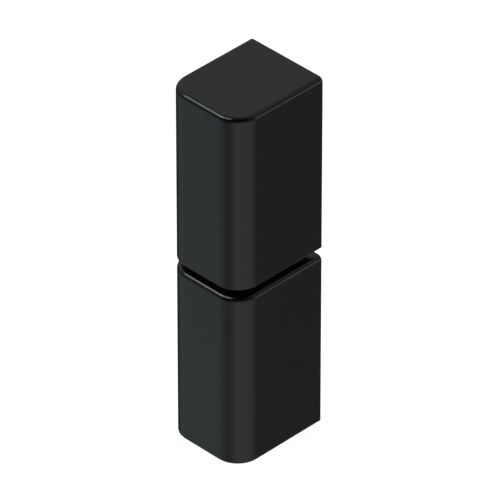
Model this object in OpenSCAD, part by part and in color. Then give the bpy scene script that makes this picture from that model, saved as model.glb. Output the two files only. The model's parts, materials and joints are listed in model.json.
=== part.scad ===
// Block door hinge: two equal die-cast blocks, one above the other, on a concealed pin.
// The lower block is screwed to the frame and the upper one to the door, both from behind.
// Origin: centre of the frame block's mounting face, midway between its two threaded inserts.
// +Z runs up along the pin, +Y points out of the mounting face into the frame, millimetres.

/* [Blocks] */
// Width of each block, side to side
block_w = 17; // [16:0.5:20]
// Depth of each block, from mounting face to outer face
block_d = 20; // [19.5:0.5:24]
// Height of each block
block_h = 34.5; // [34:0.5:40]
// Radius of the two outer upright corners
corner_r = 4.5; // [2:0.5:6]
// Radius of the rounded top edge
top_round = 0.9; // [0.4:0.1:1.5]

/* [Pin] */
// Diameter of the hinge pin
pin_d = 6; // [5:0.5:6]
// How far the pin reaches into the door block
pin_reach = 26; // [24:0.5:28]
// Outer diameter of the door block's bushes
bush_d = 8; // [7.5:0.5:8]
// Thickness of the thrust washer in the gap
washer_t = 1; // [0.8:0.1:1.2]
// Thickness of the lower bush's flange in the gap
flange_t = 0.75; // [0.5:0.05:1]

/* [Fixings] */
// Distance between the two threaded inserts of a block
fixing_pitch = 20; // [19:0.5:21]
// Tapping diameter of the insert's thread
tap_d = 4.2; // [3.3:0.1:4.2]
// Body diameter of the insert
insert_d = 7; // [6.5:0.5:7]
// Length of the insert
insert_l = 6.5; // [5:0.5:6.5]

/* [Casting] */
// Thickness of the wall beside the rear pocket
wall = 2.4; // [1.8:0.2:3]
// Depth of the rear pocket
pocket_depth = 7.5; // [5:0.5:8]
// How far the middle of the mounting face is relieved
relief_t = 0.4; // [0.2:0.1:0.6]

/* [Hidden] */
$fn = 96;

// Fits, as clearance on the radius
press = 0.02;
running = 0.04;
eps = 0.1;

// Heights of the two blocks
gap = washer_t + flange_t;
mid_h = block_h / 2;
frame_z = -mid_h;
door_z = mid_h + gap;
door_mid_z = door_z + mid_h;

// The pin's axis is as far from the outer face as from the sides
axis_y = block_w / 2 - block_d;

// Pin, its head and the plug below it
pin_r = pin_d / 2;
pin_chamfer = 0.5;
head_r = 4;
head_t = 2;
plug_t = 3;
head_z = frame_z + plug_t;
shoulder_z = head_z + head_t;
pin_top_z = door_z + pin_reach;
flat_depth = 0.5;
flat_l = 6;
groove_r = 2.2;
groove_w = 2.8;

// Bushes in the door block
bush_r = bush_d / 2;
bush_l = 7;
flange_r = 6.2;
bore_past_pin = 0.4;
bore_depth = pin_reach + bore_past_pin;

// Screws that act on the pin
screw_r = 2;
screw_pitch = 0.7;
thread_depth = 0.38;
thread_flat = 0.04;
screw_len = 6;
socket_af = 2;
socket_depth = 2.2;
point_r = 1.2;
point_edge = 0.2;
keeper_play = 0.2;

// Threaded inserts
insert_lip = 0.5;
insert_flange_r = insert_d / 2 + insert_lip;
insert_flange_t = 0.8;
knurl_count = 26;

// Rear of the casting
rim = 1.6;
pad_land = 1.1;
pad_r = insert_flange_r + pad_land;
boss_r = 3.6;
barrel_wall = 2.2;
barrel_r = bush_r + barrel_wall;
rib_t = 1.5;
rib_set_back = 1.5;
cast_r = 1.2;
ejector_r = 1.1;
ejector_depth = 0.15;
ejector_inset = 3.2;
pocket_clear = 1.3;
pocket_w = block_w - 2 * wall;
pocket_h = fixing_pitch - insert_d - 2 * pocket_clear;

housing_black = [0.19, 0.2, 0.2];
plug_black = [0.1, 0.1, 0.1];
stainless = [0.75, 0.76, 0.78];
dark_steel = [0.22, 0.22, 0.23];
brass = [0.8, 0.65, 0.32];
acetal_black = [0.12, 0.12, 0.12];

// ---- Shared shapes -------------------------------------------------------

// A quarter disc that fills the corner up and to the left of the origin
module quarter_disc(r) {
    intersection() {
        circle(r);
        translate([-r, 0]) square(r);
    }
}

// Section through a block's wall: the outside is at x = 0, with its top edge rounded
module wall_section() {
    square([corner_r, block_h - top_round]);
    translate([top_round, block_h - top_round]) {
        square([corner_r - top_round, top_round]);
        quarter_disc(top_round);
    }
}

// A rounded upright corner, as a quarter turn from angle a
module upright_corner(a) {
    rotate([0, 0, a])
        rotate_extrude(angle = 90)
            translate([corner_r, 0])
                mirror([1, 0])
                    wall_section();
}

// The plain block: three rounded sides, a flat mounting face at y = 0 and a flat bottom at z = 0
module block() {
    inner_x = block_w / 2 - corner_r;
    inner_y = corner_r - block_d;
    for (side = [0, 1])
        mirror([side, 0, 0])
            translate([-block_w / 2, 0, 0])
                rotate([90, 0, 0])
                    linear_extrude(-inner_y)
                        wall_section();
    translate([-inner_x, -block_d, 0])
        rotate([90, 0, 90])
            linear_extrude(2 * inner_x)
                wall_section();
    translate([inner_x, inner_y, 0]) upright_corner(-90);
    translate([-inner_x, inner_y, 0]) upright_corner(-180);
    translate([-inner_x, inner_y, 0]) cube([2 * inner_x, -inner_y, block_h]);
}

// A round hole or bar that runs into the block from its mounting face
module from_behind(r, depth) {
    rotate([90, 0, 0]) cylinder(r = r, h = depth);
}

// A recess of width w and height h in the mounting face, with rounded corners
module rear_recess(w, h, depth) {
    for (x = [-1, 1], z = [-1, 1])
        translate([x * (w / 2 - cast_r), 0, z * (h / 2 - cast_r)])
            from_behind(cast_r, depth);
    translate([-w / 2, -depth, -h / 2 + cast_r]) cube([w, depth, h - 2 * cast_r]);
    translate([-w / 2 + cast_r, -depth, -h / 2]) cube([w - 2 * cast_r, depth, h]);
}

// Places children at both inserts of a block
module at_inserts() {
    for (side = [-1, 1])
        translate([0, 0, mid_h + side * fixing_pitch / 2])
            children();
}

// What the casting leaves out behind: a shallow relief inside the rim, and a pocket round the screw boss
module rear_coring() {
    difference() {
        translate([0, 0, mid_h])
            rear_recess(block_w - 2 * rim, block_h - 2 * rim, relief_t);
        at_inserts() translate([0, eps, 0]) from_behind(pad_r, relief_t + 2 * eps);
        translate([0, eps, mid_h]) from_behind(boss_r, relief_t + 2 * eps);
    }
    difference() {
        translate([0, 0, mid_h]) rear_recess(pocket_w, pocket_h, pocket_depth);
        translate([0, eps, mid_h]) from_behind(boss_r, pocket_depth + 2 * eps);
        translate([0, axis_y, 0]) cylinder(r = barrel_r, h = block_h);
        translate([-block_w / 2, axis_y, mid_h - rib_t / 2])
            cube([block_w, -axis_y - rib_set_back, rib_t]);
    }
}

// Shallow rings left by the die's ejector pins near the corners of the relief
module ejector_marks() {
    for (x = [-1, 1], z = [-1, 1])
        translate([x * (block_w / 2 - ejector_inset), 0, mid_h + z * (mid_h - ejector_inset)])
            from_behind(ejector_r, relief_t + ejector_depth);
}

// Access hole for a set screw, at mid height, with a countersunk mouth
module set_screw_hole() {
    lead = 0.4;
    translate([0, eps, mid_h]) {
        from_behind(screw_r + press, eps - axis_y);
        rotate([90, 0, 0]) cylinder(r1 = screw_r + lead + eps, r2 = screw_r, h = lead + eps);
    }
}

// Seats of both inserts
module insert_seats() {
    at_inserts() {
        translate([0, eps, 0]) from_behind(insert_d / 2 + press, insert_l + eps);
        translate([0, eps, 0]) from_behind(insert_flange_r + press, insert_flange_t + eps);
    }
}

// One casting, before the pin's bore is made
module casting() {
    difference() {
        block();
        rear_coring();
        ejector_marks();
        insert_seats();
        set_screw_hole();
    }
}

// ---- Frame half: fixed ----------------------------------------------------

module frame_housing() {
    color(housing_black)
        translate([0, 0, frame_z])
            difference() {
                casting();
                translate([0, axis_y, -eps]) {
                    cylinder(r = pin_r + press, h = block_h + 2 * eps);
                    cylinder(r = head_r + press, h = plug_t + head_t + eps);
                }
            }
}

// The pin: a head below, a flat for the lock screw and a ring groove for the keeper screw
module hinge_pin() {
    edge = 0.3;
    color(stainless)
        translate([0, axis_y, 0])
            difference() {
                rotate_extrude()
                    polygon([
                        [0, head_z], [head_r - edge, head_z],
                        [head_r, head_z + edge], [head_r, shoulder_z - edge],
                        [head_r - edge, shoulder_z], [pin_r, shoulder_z],
                        [pin_r, door_mid_z - groove_w / 2], [groove_r, door_mid_z - groove_w / 2],
                        [groove_r, door_mid_z + groove_w / 2], [pin_r, door_mid_z + groove_w / 2],
                        [pin_r, pin_top_z - pin_chamfer], [pin_r - pin_chamfer, pin_top_z],
                        [0, pin_top_z]
                    ]);
                translate([-pin_d, pin_r - flat_depth, -flat_l / 2])
                    cube([2 * pin_d, pin_d, flat_l]);
            }
}

module thrust_washer() {
    outer = 6.2;
    play = 0.1;
    inner = pin_r + play;
    edge = 0.15;
    color(dark_steel)
        translate([0, axis_y, mid_h])
            rotate_extrude()
                polygon([
                    [inner, 0], [outer - edge, 0], [outer, edge],
                    [outer, washer_t - edge], [outer - edge, washer_t], [inner, washer_t]
                ]);
}

// The plug closes the counterbore under the pin's head, and has a slot to lever it out
module pin_bore_plug() {
    edge = 0.3;
    slot = [5, 1, 0.8];
    color(plug_black)
        translate([0, axis_y, frame_z])
            difference() {
                rotate_extrude()
                    polygon([
                        [0, 0], [head_r - edge, 0], [head_r, edge],
                        [head_r, plug_t - edge], [head_r - edge, plug_t], [0, plug_t]
                    ]);
                translate([-slot[0] / 2, -slot[1] / 2, -eps])
                    cube([slot[0], slot[1], slot[2] + eps]);
            }
}

// ---- Screws that act on the pin -------------------------------------------

// Outline of a set screw: socket end at z = 0, thread ridges, then a plain point
function ridge_points(len) = [
    for (i = [0 : floor(len / screw_pitch) - 1])
        for (p = [
            [screw_r - thread_depth, i * screw_pitch + thread_flat],
            [screw_r, i * screw_pitch + screw_pitch / 2],
            [screw_r - thread_depth, (i + 1) * screw_pitch - thread_flat]
        ]) p
];

module set_screw(point_len) {
    color(dark_steel)
        rotate([90, 0, 0])
            difference() {
                rotate_extrude()
                    polygon(concat(
                        [[0, 0], [screw_r - thread_depth, 0]],
                        ridge_points(screw_len),
                        [
                            [screw_r - thread_depth, screw_len],
                            [point_r, screw_len],
                            [point_r, screw_len + point_len - point_edge],
                            [point_r - point_edge, screw_len + point_len],
                            [0, screw_len + point_len]
                        ]
                    ));
                translate([0, 0, -eps])
                    cylinder(d = socket_af / cos(30), h = socket_depth + eps, $fn = 6);
            }
}

// Bears on the pin's flat, so the pin can neither turn nor drop
module pin_lock_screw() {
    point_len = 0.6;
    tip_y = axis_y + pin_r - flat_depth + press;
    translate([0, tip_y + screw_len + point_len, 0]) set_screw(point_len);
}

// Its point runs in the pin's ring groove, so the door block turns but can't lift off
module pin_keeper_screw() {
    point_len = 1.8;
    tip_y = axis_y + groove_r + keeper_play;
    translate([0, tip_y + screw_len + point_len, door_mid_z]) set_screw(point_len);
}

// ---- Door half: turns on the pin --------------------------------------------

module door_housing() {
    mouth = 0.4;
    color(housing_black)
        translate([0, 0, door_z])
            difference() {
                casting();
                translate([0, axis_y, -eps])
                    cylinder(r = bush_r + press, h = bore_depth + eps);
                translate([0, axis_y, -eps])
                    cylinder(r1 = bush_r + mouth + eps, r2 = bush_r, h = mouth + eps);
            }
}

// A plain bush, standing on z = 0
module bush_sleeve() {
    edge = 0.3;
    inner = pin_r + running;
    rotate_extrude()
        polygon([
            [inner, 0], [bush_r, 0], [bush_r, bush_l - edge], [bush_r - edge, bush_l],
            [inner + edge, bush_l], [inner, bush_l - edge]
        ]);
}

module door_bush_lower() {
    edge = 0.15;
    inner = pin_r + running;
    color(acetal_black)
        translate([0, axis_y, door_z]) {
            bush_sleeve();
            translate([0, 0, -flange_t])
                rotate_extrude()
                    polygon([
                        [inner, 0], [flange_r - edge, 0], [flange_r, edge],
                        [flange_r, flange_t], [inner, flange_t]
                    ]);
        }
}

module door_bush_upper() {
    color(acetal_black)
        translate([0, axis_y, door_z + bore_depth - bush_l])
            bush_sleeve();
}

// ---- Threaded inserts --------------------------------------------------------

// A press-in insert with a flange and a knurled body, its mouth at y = 0
module insert() {
    edge = 0.3;
    lead = 0.4;
    groove = 0.5;
    knurl_r = 0.3;
    knurl_out = 0.08;
    knurl_gap = 0.2;
    body_r = insert_d / 2;
    tap_r = tap_d / 2;
    groove_y = (insert_flange_t + insert_l) / 2;
    color(brass)
        rotate([90, 0, 0])
            difference() {
                rotate_extrude()
                    polygon([
                        [tap_r + lead, 0], [insert_flange_r, 0],
                        [insert_flange_r, insert_flange_t], [body_r, insert_flange_t],
                        [body_r, groove_y - groove], [body_r - groove, groove_y - groove],
                        [body_r - groove, groove_y + groove], [body_r, groove_y + groove],
                        [body_r, insert_l - edge], [body_r - edge, insert_l],
                        [tap_r, insert_l], [tap_r, lead]
                    ]);
                for (i = [0 : knurl_count - 1])
                    rotate([0, 0, i * 360 / knurl_count])
                        translate([body_r + knurl_out, 0, insert_flange_t + knurl_gap])
                            cylinder(r = knurl_r, h = insert_l, $fn = 4);
            }
}

module frame_insert_lower() { translate([0, 0, -fixing_pitch / 2]) insert(); }
module frame_insert_upper() { translate([0, 0, fixing_pitch / 2]) insert(); }
module door_insert_lower() { translate([0, 0, door_mid_z - fixing_pitch / 2]) insert(); }
module door_insert_upper() { translate([0, 0, door_mid_z + fixing_pitch / 2]) insert(); }

// ---- Nodes ---------------------------------------------------------------------

frame_housing();
door_housing();
hinge_pin();
thrust_washer();
door_bush_lower();
door_bush_upper();
pin_lock_screw();
pin_keeper_screw();
pin_bore_plug();
frame_insert_lower();
frame_insert_upper();
door_insert_lower();
door_insert_upper();
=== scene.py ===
"""Block door hinge: the looks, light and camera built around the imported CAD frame.

Everything is in metres in the row frame: +Z up along the hinge pin, +Y out of the mounting face.
"""
import json
import math

import bmesh
import bpy
from mathutils import Matrix, Vector


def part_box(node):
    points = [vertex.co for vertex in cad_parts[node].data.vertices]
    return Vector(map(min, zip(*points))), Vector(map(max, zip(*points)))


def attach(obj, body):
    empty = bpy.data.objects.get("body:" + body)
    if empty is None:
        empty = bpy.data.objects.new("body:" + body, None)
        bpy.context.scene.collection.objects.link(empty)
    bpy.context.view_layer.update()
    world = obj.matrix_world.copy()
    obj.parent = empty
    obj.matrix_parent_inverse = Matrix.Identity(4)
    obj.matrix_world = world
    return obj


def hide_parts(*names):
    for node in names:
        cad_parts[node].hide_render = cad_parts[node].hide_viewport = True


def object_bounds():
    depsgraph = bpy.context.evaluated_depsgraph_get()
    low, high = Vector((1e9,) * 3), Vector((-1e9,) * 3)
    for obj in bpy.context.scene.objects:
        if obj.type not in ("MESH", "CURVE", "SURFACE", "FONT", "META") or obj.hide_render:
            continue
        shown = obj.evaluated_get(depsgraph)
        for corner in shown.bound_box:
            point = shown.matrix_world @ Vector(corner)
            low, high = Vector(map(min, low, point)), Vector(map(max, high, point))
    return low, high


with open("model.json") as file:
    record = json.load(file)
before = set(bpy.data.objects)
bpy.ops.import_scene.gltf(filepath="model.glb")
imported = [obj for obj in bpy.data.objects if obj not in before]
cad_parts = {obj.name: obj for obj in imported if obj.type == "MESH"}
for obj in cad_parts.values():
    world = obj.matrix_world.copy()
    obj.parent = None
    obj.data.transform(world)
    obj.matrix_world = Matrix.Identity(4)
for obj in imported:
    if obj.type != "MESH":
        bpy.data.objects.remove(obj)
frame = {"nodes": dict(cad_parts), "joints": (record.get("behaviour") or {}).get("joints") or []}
cad_box = [list(corner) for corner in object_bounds()]

MM = 0.001

# ---- Places and sizes, from the frame ---------------------------------------

BLOCK_LOW, BLOCK_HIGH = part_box("frame_housing")
BLOCK_W, BLOCK_D, BLOCK_H = BLOCK_HIGH - BLOCK_LOW
DOOR_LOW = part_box("door_housing")[0]
CENTRE = (Vector(cad_box[0]) + Vector(cad_box[1])) / 2
FLOOR_Z = cad_box[0][2]
PIN_AXIS = Vector(frame["joints"][0]["pos_m"])


def middle(node):
    """The middle of a CAD node's box."""
    low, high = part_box(node)
    return (low + high) / 2


FIXING_PITCH = middle("frame_insert_upper").z - middle("frame_insert_lower").z

# ---- Sizes that only the surfaces need, in metres ------------------------------

CORNER_R = 4.5 * MM
TOP_ROUND = 0.9 * MM
PRESS = 0.02 * MM
PIN_R = 3 * MM
HEAD_R = 4 * MM
BUSH_R = 4 * MM
HEAD_DEPTH = 5 * MM
BORE_DEPTH = 26.4 * MM
BORE_MOUTH = 0.4 * MM

RIM = 1.6 * MM
RELIEF_DEPTH = 0.4 * MM
PAD_R = 5.1 * MM
BOSS_R = 3.6 * MM
BARREL_R = 6.2 * MM
RIB_T = 1.5 * MM
CAST_R = 1.2 * MM
POCKET_W = 12.2 * MM
POCKET_H = 10.4 * MM
POCKET_DEPTH = 7.5 * MM
EJECTOR_R = 1.1 * MM
EJECTOR_DEPTH = 0.15 * MM
EJECTOR_INSET = 3.2 * MM

INSERT_R = 3.5 * MM
INSERT_FLANGE_R = 4 * MM
INSERT_FLANGE_T = 0.8 * MM
INSERT_L = 6.5 * MM
INSERT_TAP_R = 2.1 * MM
INSERT_MAJOR_R = 2.5 * MM
INSERT_PITCH = 0.8 * MM
KNURLS = 26

SCREW_R = 2 * MM
SCREW_ROOT_R = 1.62 * MM
SCREW_PITCH = 0.7 * MM
SCREW_L = 6 * MM
SCREW_POINT_R = 1.2 * MM
SOCKET_AF = 2 * MM
SOCKET_DEPTH = 2.2 * MM

EDGE_R = 0.1 * MM
FINE_EDGE_R = 0.05 * MM
PLUG_EDGE_R = 0.08 * MM
EDGE_SEGMENTS = 3
FINE_EDGE_SEGMENTS = 2

# Points nearer than WELD are the same point. Before a casting's edges are rounded, its shortest
# edges are merged too, because they would leave the rounding no room.
WELD = 0.001 * MM
CAST_WELD = 0.06 * MM
OVERSHOOT = 1 * MM

# How many straight steps a quarter arc, the top round, a bored hole and a threaded piece have
ARC_STEPS = 24
ROUND_STEPS = 12
CIRCLE_STEPS = 96
INSERT_STEPS = KNURLS * 4
SCREW_STEPS = 72

# Angles in degrees: faces nearer to one plane are one face, edges sharper than SHARP are rounded,
# and those sharper than CREASE are shaded as a crease
ONE_PLANE = 0.2
SHARP = 30
CREASE = 40

# A thread's flat crest and its slope down to the root, as shares of half a turn
THREAD_CREST = 0.15
THREAD_SLOPE = 0.7

# ---- Mesh helpers ---------------------------------------------------------------


def new_object(name, mesh):
    """Links a mesh into the scene under that name."""
    mesh.name = name
    piece = bpy.data.objects.new(name, mesh)
    bpy.context.scene.collection.objects.link(piece)
    return piece


def skin(name, rings, closed=False):
    """A surface through rings of equally many points, capped unless the last ring joins the first."""
    work = bmesh.new()
    rows = [[work.verts.new(point) for point in ring] for ring in rings]
    count = len(rings[0])
    pairs = list(zip(rows, rows[1:])) + ([(rows[-1], rows[0])] if closed else [])
    for lower, upper in pairs:
        for i in range(count):
            j = (i + 1) % count
            work.faces.new((lower[i], lower[j], upper[j], upper[i]))
    if not closed:
        work.faces.new(rows[0])
        work.faces.new(rows[-1])
    bmesh.ops.recalc_face_normals(work, faces=work.faces)
    mesh = bpy.data.meshes.new(name)
    work.to_mesh(mesh)
    work.free()
    return new_object(name, mesh)


def box_between(low, high):
    """A plain box, used only to cut with."""
    corners = [(low[0], low[1]), (high[0], low[1]), (high[0], high[1]), (low[0], high[1])]
    return skin("cutter", [[(x, y, z) for x, y in corners] for z in (low[2], high[2])])


def bar(radius, start, end):
    """A round bar between two points, used only to cut with."""
    start, end = Vector(start), Vector(end)
    turn = (end - start).to_track_quat("Z", "Y").to_matrix()
    rings = []
    for centre in (start, end):
        ring = []
        for i in range(CIRCLE_STEPS):
            a = math.tau * i / CIRCLE_STEPS
            ring.append(centre + turn @ Vector((radius * math.cos(a), radius * math.sin(a), 0)))
        rings.append(ring)
    return skin("cutter", rings)


def pin_bore(stations):
    """The whole of a block's bore on the pin's axis, from its (height, radius) stations."""
    rings = []
    for z, radius in stations:
        ring = []
        for i in range(CIRCLE_STEPS):
            a = math.tau * i / CIRCLE_STEPS
            ring.append((radius * math.cos(a), PIN_AXIS.y + radius * math.sin(a), z))
        rings.append(ring)
    return skin("cutter", rings)


def from_behind(radius, depth, z=0, x=0):
    """A round bar that enters a block through its mounting face."""
    return bar(radius, (x, OVERSHOOT, z), (x, -depth, z))


def rear_recess(width, height, depth, z):
    """A recess with rounded corners in the mounting face."""
    ring = []
    for quarter, (sx, sz) in enumerate(((1, 1), (-1, 1), (-1, -1), (1, -1))):
        for i in range(ARC_STEPS // 2 + 1):
            a = math.radians(90) * (quarter + i / (ARC_STEPS // 2))
            ring.append((
                sx * (width / 2 - CAST_R) + CAST_R * math.cos(a),
                z + sz * (height / 2 - CAST_R) + CAST_R * math.sin(a),
            ))
    return skin("cutter", [[(x, y, h) for x, h in ring] for y in (OVERSHOOT, -depth)])


def combine(target, tool, operation):
    """target with tool added, taken away or kept in common. The tool is used up."""
    step = target.modifiers.new("combine", "BOOLEAN")
    step.operation = operation
    step.object = tool
    step.solver = "EXACT"
    bpy.context.view_layer.update()
    shown = target.evaluated_get(bpy.context.evaluated_depsgraph_get())
    mesh = bpy.data.meshes.new_from_object(shown)
    old = target.data
    target.modifiers.clear()
    target.data = mesh
    bpy.data.meshes.remove(old)
    bpy.data.objects.remove(tool)
    return target


def cut(target, *tools):
    """target with every tool taken away from it."""
    for tool in tools:
        combine(target, tool, "DIFFERENCE")
    return target


def inside_bore(point):
    """Whether a place on a block is within its bore, where the pin and bushes hide every edge."""
    reach = math.hypot(point.x, point.y - PIN_AXIS.y)
    return reach < HEAD_R + EDGE_R and EDGE_R < point.z < BLOCK_H - EDGE_R


def write_in_order(work, mesh):
    """Writes smooth faces in a fixed order, so that every run gives the very same mesh."""
    points = sorted(work.verts, key=lambda point: tuple(point.co))
    number = {point: i for i, point in enumerate(points)}
    faces = []
    for face in work.faces:
        ring = [number[point] for point in face.verts]
        first = ring.index(min(ring))
        faces.append(ring[first:] + ring[:first])
    mesh.clear_geometry()
    mesh.from_pydata([point.co for point in points], [], sorted(faces))
    mesh.polygons.foreach_set("use_smooth", [True] * len(mesh.polygons))


def joined(edges):
    """The same edges, in groups that meet at their ends."""
    waiting = dict.fromkeys(edges)
    groups = []
    while waiting:
        group = [waiting.popitem()[0]]
        for edge in group:
            for end in edge.verts:
                for other in end.link_edges:
                    if other in waiting:
                        del waiting[other]
                        group.append(other)
        groups.append(group)
    return groups


def soften_edges(piece, radius):
    """Rounds every sharp outer edge of a casting, as a coat of paint does.

    Each group of joined edges is rounded alone, because the narrowest place beside a group limits
    the whole of it.
    """
    work = bmesh.new()
    work.from_mesh(piece.data)
    bmesh.ops.remove_doubles(work, verts=work.verts, dist=CAST_WELD)
    bmesh.ops.dissolve_limit(
        work, angle_limit=math.radians(ONE_PLANE), verts=work.verts, edges=work.edges
    )
    limit = math.radians(SHARP)
    edges = []
    for edge in work.edges:
        outer = edge.is_manifold and edge.is_convex and edge.calc_face_angle() > limit
        if outer and not any(inside_bore(end.co) for end in edge.verts):
            edges.append(edge)
    for group in joined(edges):
        bmesh.ops.bevel(
            work, geom=group, offset=radius, offset_type="OFFSET", segments=EDGE_SEGMENTS,
            profile=0.5, affect="EDGES", clamp_overlap=True, miter_outer="ARC",
        )
    bmesh.ops.remove_doubles(work, verts=work.verts, dist=WELD)
    write_in_order(work, piece.data)
    work.free()
    weigh_normals(piece)


def weigh_normals(piece):
    """Keeps flats flat right up to their rounded edges."""
    step = piece.modifiers.new("flats", "WEIGHTED_NORMAL")
    step.weight = 100
    step.keep_sharp = True


# ---- Housings ---------------------------------------------------------------------


def plan_ring(inset, z):
    """The block's plan at height z, moved in from its three outer sides."""
    half = BLOCK_W / 2
    centre_x, centre_y = half - CORNER_R, CORNER_R - BLOCK_D
    radius = CORNER_R - inset
    ring = [(half - inset, 0, z)]
    for side, first in ((1, 0), (-1, -90)):
        for i in range(ARC_STEPS + 1):
            a = math.radians(first - 90 * i / ARC_STEPS)
            x = side * centre_x + radius * math.cos(a)
            ring.append((x, centre_y + radius * math.sin(a), z))
    ring.append((inset - half, 0, z))
    return ring


def plain_block():
    """The block before coring: its bottom is at z = 0 and its mounting face at y = 0."""
    rings = [plan_ring(0, 0)]
    for step in range(ROUND_STEPS + 1):
        a = math.radians(90) * step / ROUND_STEPS
        inset = TOP_ROUND * (1 - math.cos(a))
        drop = TOP_ROUND * (1 - math.sin(a))
        rings.append(plan_ring(inset, BLOCK_H - drop))
    return skin("casting", rings)


def rear_coring():
    """What the die leaves out behind: the shallow relief, and the pocket round the screw boss."""
    mid = BLOCK_H / 2
    coring = rear_recess(BLOCK_W - 2 * RIM, BLOCK_H - 2 * RIM, RELIEF_DEPTH, mid)
    for side in (-1, 1):
        pad_z = mid + side * FIXING_PITCH / 2
        cut(coring, bar(PAD_R, (0, 2 * OVERSHOOT, pad_z), (0, -OVERSHOOT, pad_z)))
    combine(coring, rear_recess(POCKET_W, POCKET_H, POCKET_DEPTH, mid), "UNION")
    return cut(
        coring,
        bar(BOSS_R, (0, 2 * OVERSHOOT, mid), (0, -BLOCK_D, mid)),
        bar(BARREL_R, (0, PIN_AXIS.y, -OVERSHOOT), (0, PIN_AXIS.y, BLOCK_H + OVERSHOOT)),
        box_between((-BLOCK_W, PIN_AXIS.y, mid - RIB_T / 2), (BLOCK_W, -RIB_T, mid + RIB_T / 2)),
    )


def casting(name):
    """One block, cored, with its insert seats and set screw hole, and no bore for the pin yet."""
    mid = BLOCK_H / 2
    block = cut(plain_block(), rear_coring())
    for side in (-1, 1):
        z = mid + side * FIXING_PITCH / 2
        cut(
            block,
            from_behind(INSERT_R + PRESS, INSERT_L, z),
            from_behind(INSERT_FLANGE_R + PRESS, INSERT_FLANGE_T, z),
        )
        mark_z = mid + side * (mid - EJECTOR_INSET)
        for x in (-1, 1):
            mark_x = x * (BLOCK_W / 2 - EJECTOR_INSET)
            cut(block, from_behind(EJECTOR_R, RELIEF_DEPTH + EJECTOR_DEPTH, mark_z, mark_x))
    cut(block, from_behind(SCREW_R + PRESS, -PIN_AXIS.y, mid))
    block.name = name
    return block


def finish_housing(block, node, body, foot, material):
    """Softens, places and dresses a housing, and lets it stand for its CAD node."""
    soften_edges(block, EDGE_R)
    block.data.transform(Matrix.Translation((0, 0, foot)))
    dress(block, body, node, material)


def dress(piece, body, node, material):
    """Gives a piece its material and body, and lets it stand for its CAD node."""
    piece.data.materials.clear()
    piece.data.materials.append(material)
    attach(piece, body)
    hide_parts(node)


def make_housings(material):
    """Both blocks. The lower one's bore steps out for the pin's head, the upper one's for a lead-in."""
    lower = casting("frame_casting")
    cut(lower, pin_bore((
        (-OVERSHOOT, HEAD_R + PRESS),
        (HEAD_DEPTH, HEAD_R + PRESS),
        (HEAD_DEPTH, PIN_R + PRESS),
        (BLOCK_H + OVERSHOOT, PIN_R + PRESS),
    )))
    finish_housing(lower, "frame_housing", "frame_half", BLOCK_LOW.z, material)
    upper = casting("door_casting")
    cut(upper, pin_bore((
        (-OVERSHOOT, BUSH_R + PRESS + BORE_MOUTH + OVERSHOOT),
        (BORE_MOUTH, BUSH_R + PRESS),
        (BORE_DEPTH, BUSH_R + PRESS),
    )))
    finish_housing(upper, "door_housing", "door_half", DOOR_LOW.z, material)


# ---- Threaded pieces ----------------------------------------------------------------


def plain(radius):
    """The same radius all round."""
    return lambda angle, y: radius


def thread(crest, root, pitch, low, high):
    """A helical thread's radius. It fades out to the crest within half a pitch of either end."""
    def radius(angle, y):
        turn = (y / pitch + angle / math.tau) % 1
        depth = min(max((abs(2 * turn - 1) - THREAD_CREST) / THREAD_SLOPE, 0), 1)
        fade = min(max(min(y - low, high - y) / (pitch / 2), 0), 1)
        return crest + (root - crest) * depth * fade
    return radius


def knurl(radius, depth, count):
    """A straight knurl's radius."""
    def at(angle, y):
        return radius - depth * abs(2 * ((angle * count / math.tau) % 1) - 1)
    return at


def hexagon(across_flats):
    """A hexagon's radius."""
    def at(angle, y):
        return across_flats / 2 / math.cos((angle % math.radians(60)) - math.radians(30))
    return at


def turned(name, stations, steps, closed):
    """A piece on the Y axis, from stations of (y, radius at an angle)."""
    rings = []
    for y, radius in stations:
        ring = []
        for i in range(steps):
            a = math.tau * i / steps
            r = radius(a, y)
            ring.append((r * math.cos(a), y, r * math.sin(a)))
        rings.append(ring)
    piece = skin(name, rings, closed)
    piece.data.polygons.foreach_set("use_smooth", [True] * len(piece.data.polygons))
    piece.data.set_sharp_from_angle(angle=math.radians(CREASE))
    return piece


def along(start, end, step):
    """Evenly spaced places from start to end, both included."""
    count = max(1, round(abs(end - start) / step))
    return [start + (end - start) * i / count for i in range(count + 1)]


def threaded_insert(name):
    """A flanged insert with a knurled body and a tapped bore, from its mouth at y = 0 towards -Y."""
    edge = 0.12 * MM
    lead = 0.4 * MM
    groove = 0.5 * MM
    knurl_depth = 0.22 * MM
    body = plain(INSERT_R - knurl_depth)
    ridges = knurl(INSERT_R, knurl_depth, KNURLS)
    waist = plain(INSERT_R - groove)
    waist_y = -(INSERT_FLANGE_T + INSERT_L) / 2
    tapped = thread(INSERT_TAP_R, INSERT_MAJOR_R, INSERT_PITCH, -INSERT_L, -lead)
    stations = [
        (-edge, plain(INSERT_FLANGE_R)),
        (-INSERT_FLANGE_T + edge, plain(INSERT_FLANGE_R)),
        (-INSERT_FLANGE_T, plain(INSERT_FLANGE_R - edge)),
        (-INSERT_FLANGE_T, body),
        (-INSERT_FLANGE_T - edge, body),
        (-INSERT_FLANGE_T - 2 * edge, ridges),
        (waist_y + groove + edge, ridges),
        (waist_y + groove, body),
        (waist_y + groove, waist),
        (waist_y - groove, waist),
        (waist_y - groove, body),
        (waist_y - groove - edge, ridges),
        (-INSERT_L + 3 * edge, ridges),
        (-INSERT_L + 2 * edge, body),
        (-INSERT_L, plain(INSERT_R - 3 * edge)),
        (-INSERT_L, plain(INSERT_TAP_R + edge)),
    ]
    stations += [(y, tapped) for y in along(-INSERT_L + edge, -lead, INSERT_PITCH / 8)]
    stations += [
        (0, plain(INSERT_TAP_R + lead)),
        (0, plain(INSERT_FLANGE_R - edge)),
    ]
    return turned(name, stations, INSERT_STEPS, closed=True)


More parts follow.
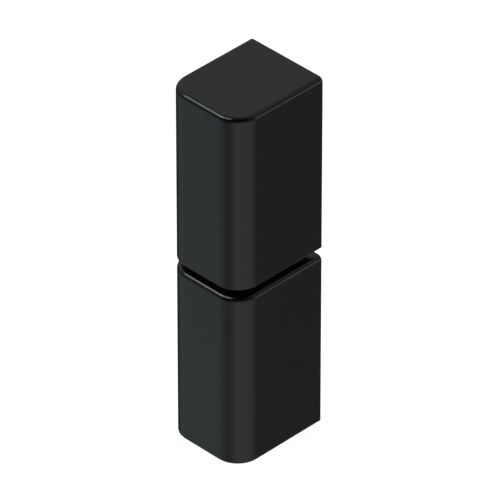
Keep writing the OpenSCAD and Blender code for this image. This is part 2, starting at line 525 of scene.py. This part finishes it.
def set_screw(name, point_l):
    """A socket set screw with a plain point, from its socket end at y = 0 towards -Y."""
    edge = 0.15 * MM
    centre = plain(0.02 * MM)
    wrench = hexagon(SOCKET_AF)
    socket_corner = SOCKET_AF / 2 / math.cos(math.radians(30))
    outer = thread(SCREW_R, SCREW_ROOT_R, SCREW_PITCH, -SCREW_L, 0)
    tip = -SCREW_L - point_l
    stations = [
        (tip, centre),
        (tip, plain(SCREW_POINT_R - edge)),
        (tip + edge, plain(SCREW_POINT_R)),
        (-SCREW_L, plain(SCREW_POINT_R)),
        (-SCREW_L, plain(SCREW_ROOT_R - edge)),
    ]
    ends = SCREW_R - SCREW_ROOT_R
    stations += [(y, outer) for y in along(-SCREW_L + ends, -ends, SCREW_PITCH / 8)]
    stations += [
        (0, plain(SCREW_ROOT_R)),
        (0, plain(socket_corner + edge)),
        (-edge, plain(socket_corner)),
        (-2 * edge, wrench),
        (-SOCKET_DEPTH, wrench),
        (-SOCKET_DEPTH - 2 * edge, centre),
    ]
    return turned(name, stations, SCREW_STEPS, closed=False)


def make_inserts(material):
    """The four inserts, each with its mouth where its CAD solid has it."""
    for half in ("frame", "door"):
        for level in ("lower", "upper"):
            node = f"{half}_insert_{level}"
            piece = threaded_insert(f"{half}_insert_{level}_threaded")
            piece.location = (0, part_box(node)[1].y, middle(node).z)
            dress(piece, f"{half}_half", node, material)


def make_set_screws(material):
    """The two set screws. What a CAD solid has beyond the screw's length is its point."""
    for node, body in (("pin_lock_screw", "frame_half"), ("pin_keeper_screw", "door_half")):
        low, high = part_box(node)
        piece = set_screw(f"{node}_threaded", high.y - low.y - SCREW_L)
        piece.location = (0, high.y, (low.z + high.z) / 2)
        dress(piece, body, node, material)


# ---- CAD pieces that stay ----------------------------------------------------------


def refine(node, material, edge_r):
    """Rounds a CAD piece's edges a little and gives it its material."""
    piece = frame["nodes"][node]
    weld = piece.modifiers.new("weld", "WELD")
    weld.merge_threshold = WELD
    edges = piece.modifiers.new("edges", "BEVEL")
    edges.width = edge_r
    edges.segments = FINE_EDGE_SEGMENTS
    edges.limit_method = "ANGLE"
    edges.angle_limit = math.radians(SHARP)
    weigh_normals(piece)
    for place in piece.material_slots:
        place.material = material


# ---- Material helpers -----------------------------------------------------------------


class Tree:
    """Builds one node tree, so that a material reads as a list of steps."""

    def __init__(self, owner):
        owner.use_nodes = True
        self.tree = owner.node_tree
        self.tree.nodes.clear()

    def add(self, kind, inputs=(), **settings):
        node = self.tree.nodes.new(kind)
        for name, value in settings.items():
            setattr(node, name, value)
        for key, value in dict(inputs).items():
            self.put(node.inputs[key], value)
        return node

    def put(self, socket, value):
        if isinstance(value, bpy.types.NodeSocket):
            self.tree.links.new(value, socket)
        else:
            socket.default_value = value

    def math(self, operation, a, b=0.0, c=0.0, clamp=False):
        node = self.add("ShaderNodeMath", {0: a, 1: b, 2: c}, operation=operation, use_clamp=clamp)
        return node.outputs[0]

    def vector(self, operation, a, b=(0, 0, 0), c=(0, 0, 0)):
        node = self.add("ShaderNodeVectorMath", {0: a, 1: b, 2: c}, operation=operation)
        return node.outputs["Value" if operation in ("LENGTH", "DOT_PRODUCT") else "Vector"]

    def between(self, value, low, high, to_low=0.0, to_high=1.0):
        """value, from to_low at low to to_high at high, smoothly and no further."""
        node = self.add(
            "ShaderNodeMapRange",
            {"Value": value, "From Min": low, "From Max": high, "To Min": to_low, "To Max": to_high},
            interpolation_type="SMOOTHSTEP",
        )
        return node.outputs["Result"]

    def mix(self, factor, a, b):
        node = self.add("ShaderNodeMix", {0: factor}, data_type="RGBA")
        self.put(node.inputs[6], a)
        self.put(node.inputs[7], b)
        return node.outputs[2]

    def noise(self, where, size, detail=2.0, roughness=0.5):
        """Noise with features about that size, in metres, from 0 to 1."""
        node = self.add(
            "ShaderNodeTexNoise",
            {"Vector": where, "Scale": 1 / size, "Detail": detail, "Roughness": roughness},
        )
        return node.outputs["Fac"]

    def bump(self, height, distance, strength=1.0, normal=None):
        inputs = {"Height": height, "Distance": distance, "Strength": strength}
        node = self.add("ShaderNodeBump", inputs)
        if normal is not None:
            self.put(node.inputs["Normal"], normal)
        return node.outputs["Normal"]


def rgb(r, g, b):
    """An opaque colour."""
    return (r, g, b, 1.0)


def surface(name, settings):
    """A material with one Principled shader. settings are uniform numbers on its own sockets."""
    material = bpy.data.materials.new(name)
    tree = Tree(material)
    shader = tree.add("ShaderNodeBsdfPrincipled", settings)
    output = tree.add("ShaderNodeOutputMaterial")
    tree.put(output.inputs["Surface"], shader.outputs["BSDF"])
    return material, tree, shader


def here(tree):
    """The place on the piece, in metres."""
    return tree.add("ShaderNodeTexCoord").outputs["Object"]


def edge_mask(tree, radius):
    """1 along outer edges within that distance, and 0 on flats."""
    flat, full = 0.98, 0.8
    rounded = tree.add("ShaderNodeBevel", {"Radius": radius}, samples=6).outputs["Normal"]
    true_normal = tree.add("ShaderNodeNewGeometry").outputs["Normal"]
    return tree.between(tree.vector("DOT_PRODUCT", rounded, true_normal), flat, full)


# ---- Materials ----------------------------------------------------------------------------


def powder_coat():
    """Jet black powder coat: satin, with faint orange peel, fine grain and slightly rubbed edges."""
    material, tree, shader = surface("powder_coat_black", {"Metallic": 0.0, "IOR": 1.5})
    place = here(tree)
    cloud = tree.noise(place, 6 * MM, 3)
    peel = tree.noise(place, 0.8 * MM, 1)
    grain = tree.noise(place, 0.12 * MM, 2, 0.6)
    patchy = tree.between(tree.noise(place, 1.5 * MM, 3), 0.35, 0.7)
    rubbed = tree.math("MULTIPLY", edge_mask(tree, 0.22 * MM), patchy)
    coat = tree.mix(cloud, rgb(0.0018, 0.002, 0.002), rgb(0.0026, 0.0028, 0.0028))
    coat = tree.mix(tree.math("MULTIPLY", rubbed, 0.35), coat, rgb(0.03, 0.03, 0.031))
    tree.put(shader.inputs["Base Color"], coat)
    rough = tree.math("MULTIPLY_ADD", cloud, 0.05, 0.15)
    rough = tree.math("MULTIPLY_ADD", grain, 0.04, rough)
    rough = tree.math("MULTIPLY_ADD", rubbed, -0.04, rough)
    tree.put(shader.inputs["Roughness"], rough)
    normal = tree.bump(peel, 0.004 * MM, 0.5)
    normal = tree.bump(grain, 0.0006 * MM, 0.5, normal)
    tree.put(shader.inputs["Normal"], normal)
    return material


def around_pin(tree):
    """Distance from the pin's axis, and height, for turning marks."""
    place = tree.vector("SUBTRACT", here(tree), (0, PIN_AXIS.y, 0))
    parts = tree.add("ShaderNodeSeparateXYZ", {0: place})
    flat = tree.add("ShaderNodeCombineXYZ", {0: parts.outputs[0], 1: parts.outputs[1]}).outputs[0]
    return tree.vector("LENGTH", flat), parts.outputs[2]


def around_y(tree):
    """The same round a piece's own Y axis."""
    parts = tree.add("ShaderNodeSeparateXYZ", {0: here(tree)})
    flat = tree.add("ShaderNodeCombineXYZ", {0: parts.outputs[0], 1: parts.outputs[2]}).outputs[0]
    return tree.vector("LENGTH", flat), parts.outputs[1]


def turned_metal(name, colour, stain, roughness, axis_of):
    """Bare metal with fine turning marks round its axis, and a faint stain."""
    material, tree, shader = surface(name, {"Metallic": 1.0})
    radius, height = axis_of(tree)
    track = tree.add("ShaderNodeCombineXYZ", {0: radius, 1: height}).outputs[0]
    marks = tree.noise(track, 0.06 * MM, 2, 0.7)
    cloud = tree.noise(here(tree), 1.6 * MM, 3, 0.6)
    tree.put(shader.inputs["Base Color"], tree.mix(cloud, colour, stain))
    rough = tree.math("MULTIPLY_ADD", marks, 0.12, roughness)
    rough = tree.math("MULTIPLY_ADD", cloud, 0.08, rough)
    tree.put(shader.inputs["Roughness"], rough)
    tree.put(shader.inputs["Normal"], tree.bump(marks, 0.002 * MM, 0.6))
    return material


def acetal():
    """Black acetal: smooth and waxy, with faint machining marks."""
    material, tree, shader = surface("acetal_black", {"IOR": 1.48})
    radius, height = around_pin(tree)
    track = tree.add("ShaderNodeCombineXYZ", {0: radius, 1: height}).outputs[0]
    marks = tree.noise(track, 0.12 * MM, 2)
    cloud = tree.noise(here(tree), 3 * MM, 3)
    colour = tree.mix(cloud, rgb(0.018, 0.018, 0.018), rgb(0.026, 0.026, 0.026))
    tree.put(shader.inputs["Base Color"], colour)
    tree.put(shader.inputs["Roughness"], tree.math("MULTIPLY_ADD", marks, 0.15, 0.35))
    tree.put(shader.inputs["Normal"], tree.bump(marks, 0.002 * MM, 0.5))
    return material


def black_oxide():
    """Black oxide steel: dark and oily, browner where the finish is thin, with rubbed edges."""
    material, tree, shader = surface("black_oxide_steel", {"Metallic": 1.0})
    place = here(tree)
    cloud = tree.noise(place, 0.9 * MM, 4, 0.6)
    grain = tree.noise(place, 0.07 * MM, 2)
    rubbed = tree.math("MULTIPLY", edge_mask(tree, 0.1 * MM), cloud)
    coat = tree.mix(cloud, rgb(0.035, 0.035, 0.04), rgb(0.075, 0.065, 0.055))
    tree.put(shader.inputs["Base Color"], tree.mix(rubbed, coat, rgb(0.3, 0.29, 0.28)))
    tree.put(shader.inputs["Roughness"], tree.math("MULTIPLY_ADD", grain, 0.2, 0.28))
    tree.put(shader.inputs["Normal"], tree.bump(grain, 0.002 * MM, 0.5))
    return material


def plug_plastic():
    """Moulded black plastic with a fine spark-eroded grain."""
    material, tree, shader = surface("plug_plastic_black", {"IOR": 1.5})
    place = here(tree)
    cloud = tree.noise(place, 2 * MM, 3)
    grain = tree.noise(place, 0.15 * MM, 3, 0.7)
    colour = tree.mix(cloud, rgb(0.008, 0.008, 0.009), rgb(0.014, 0.014, 0.014))
    tree.put(shader.inputs["Base Color"], colour)
    tree.put(shader.inputs["Roughness"], tree.math("MULTIPLY_ADD", grain, 0.2, 0.45))
    tree.put(shader.inputs["Normal"], tree.bump(grain, 0.012 * MM, 0.5))
    return material


def glowing_table():
    """The studio's pale light table. It is clear from below, so that the underside can be seen."""
    material, tree, shader = surface(
        "table_pale",
        {
            "Roughness": 0.9,
            "Specular IOR Level": 0.0,
            "Emission Color": rgb(1, 1, 1),
            "Emission Strength": TABLE_GLOW,
        },
    )
    cloud = tree.noise(here(tree), 0.4, 2)
    colour = tree.mix(cloud, rgb(0.3, 0.3, 0.3), rgb(0.31, 0.31, 0.31))
    tree.put(shader.inputs["Base Color"], colour)
    clear = tree.add("ShaderNodeBsdfTransparent").outputs[0]
    below = tree.add("ShaderNodeNewGeometry").outputs["Backfacing"]
    sides = tree.add("ShaderNodeMixShader", {0: below, 1: shader.outputs[0], 2: clear})
    output = next(node for node in tree.tree.nodes if node.type == "OUTPUT_MATERIAL")
    tree.put(output.inputs["Surface"], sides.outputs[0])
    return material


# ---- Studio ---------------------------------------------------------------------------------

# The camera's direction from the hinge in degrees, its distance in metres, its lens and its aim
VIEW_AZIMUTH = 45
VIEW_ELEVATION = 35.7
VIEW_DISTANCE = 1.25
VIEW_LENS = 537
AIM_RIGHT = 1.03 * MM
AIM_UP = 0.91 * MM

# The soft lights that the gloss reflects. Each is round and has an azimuth, an elevation, a radius
# and the softness of its edge in degrees, then a brightness and a tint. Azimuth 0 is straight out
# of the outer face and 90 is to the right. The first group is what the table gives back.
NEUTRAL = (0.92, 1.0, 0.94)
COOL = (0.86, 1.0, 1.03)
TABLE_LIGHTS = (
    (-38, -35, 32, 25, 0.42, COOL),
    (60, -25, 40, 25, 0.6, NEUTRAL),
    (50, -35, 8, 14, 0.2, NEUTRAL),
    (115, -35, 14, 25, 0.33, NEUTRAL),
    (128, -7, 11, 5, 1.2, NEUTRAL),
    (-175, -20, 28, 18, 0.35, NEUTRAL),
    (0, -90, 35, 18, 0.4, NEUTRAL),
    (165, -58, 8, 7, 1.3, NEUTRAL),
)
ROOM_LIGHTS = (
    (-140, 15, 70, 22, 0.41, NEUTRAL),
    (-50, 12, 30, 20, 0.2, NEUTRAL),
    (130, 20, 28, 20, 0.23, NEUTRAL),
    (-46, 48, 12, 5, 5.5, NEUTRAL),
    (-16, 62, 8, 4, 7.0, NEUTRAL),
)
DARK = 0.03
HORIZON = (-2, 10)
TABLE_GLOW = 0.95
TABLE_HALF = 3.0


def towards(azimuth, elevation):
    """The direction from the hinge to a place in the studio."""
    around, up = math.radians(azimuth), math.radians(elevation)
    return Vector((
        math.sin(around) * math.cos(up),
        -math.cos(around) * math.cos(up),
        math.sin(up),
    ))


def make_camera():
    """The camera, which looks down on the outer corner from the right."""
    back = towards(VIEW_AZIMUTH, VIEW_ELEVATION)
    right = towards(VIEW_AZIMUTH + 90, 0)
    up = back.cross(right)
    data = bpy.data.cameras.new("camera")
    data.lens = VIEW_LENS
    data.sensor_width = 36
    data.clip_start = 0.01
    data.clip_end = 20
    camera = bpy.data.objects.new("camera", data)
    bpy.context.scene.collection.objects.link(camera)
    turn = Matrix((right, up, back)).transposed().to_4x4()
    place = CENTRE + right * AIM_RIGHT + up * AIM_UP + back * VIEW_DISTANCE
    camera.matrix_world = Matrix.Translation(place) @ turn
    bpy.context.scene.camera = camera


def soft_lights(tree, direction, lights):
    """The light from one group of soft lights."""
    total = (DARK, DARK, DARK)
    for azimuth, elevation, radius, soft, brightness, tint in lights:
        facing = tree.vector("DOT_PRODUCT", direction, towards(azimuth, elevation))
        apart = tree.math("DEGREES", tree.math("ARCCOSINE", facing))
        glow = tree.between(apart, radius - soft, radius + soft, brightness, 0.0)
        total = tree.vector("MULTIPLY_ADD", glow, tint, total)
    return total


def make_world():
    """White to the camera, and a soft studio to everything else."""
    world = bpy.data.worlds.new("studio")
    bpy.context.scene.world = world
    tree = Tree(world)
    direction = tree.add("ShaderNodeTexCoord").outputs["Generated"]
    height = tree.add("ShaderNodeSeparateXYZ", {0: direction}).outputs[2]
    elevation = tree.math("DEGREES", tree.math("ARCSINE", height))
    light = tree.mix(
        tree.between(elevation, *HORIZON),
        soft_lights(tree, direction, TABLE_LIGHTS),
        soft_lights(tree, direction, ROOM_LIGHTS),
    )
    seen = tree.add("ShaderNodeLightPath").outputs["Is Camera Ray"]
    light = tree.mix(seen, light, rgb(1, 1, 1))
    background = tree.add("ShaderNodeBackground", {"Color": light})
    output = tree.add("ShaderNodeOutputWorld")
    tree.put(output.inputs["Surface"], background.outputs[0])


def make_floor():
    """A pale light table under the hinge. The gloss reflects the studio and not the table."""
    half = TABLE_HALF
    corners = ((-half, -half), (half, -half), (half, half), (-half, half))
    mesh = bpy.data.meshes.new("floor")
    mesh.from_pydata([(x, y, FLOOR_Z) for x, y in corners], [], [(0, 1, 2, 3)])
    mesh.materials.append(glowing_table())
    floor = new_object("floor", mesh)
    floor.visible_glossy = False


def main():
    """Makes the studio, then every piece and its material."""
    bpy.context.scene.view_settings.view_transform = "Standard"
    make_camera()
    make_world()
    make_floor()
    make_housings(powder_coat())
    brass = turned_metal(
        "brass_turned", rgb(0.72, 0.5, 0.19), rgb(0.6, 0.4, 0.14), 0.22, around_y
    )
    make_inserts(brass)
    dark_steel = black_oxide()
    make_set_screws(dark_steel)
    stainless = turned_metal(
        "stainless_turned", rgb(0.62, 0.61, 0.59), rgb(0.52, 0.51, 0.49), 0.2, around_pin
    )
    refine("hinge_pin", stainless, FINE_EDGE_R)
    refine("thrust_washer", dark_steel, FINE_EDGE_R)
    bushes = acetal()
    refine("door_bush_lower", bushes, FINE_EDGE_R)
    refine("door_bush_upper", bushes, FINE_EDGE_R)
    refine("pin_bore_plug", plug_plastic(), PLUG_EDGE_R)


main()
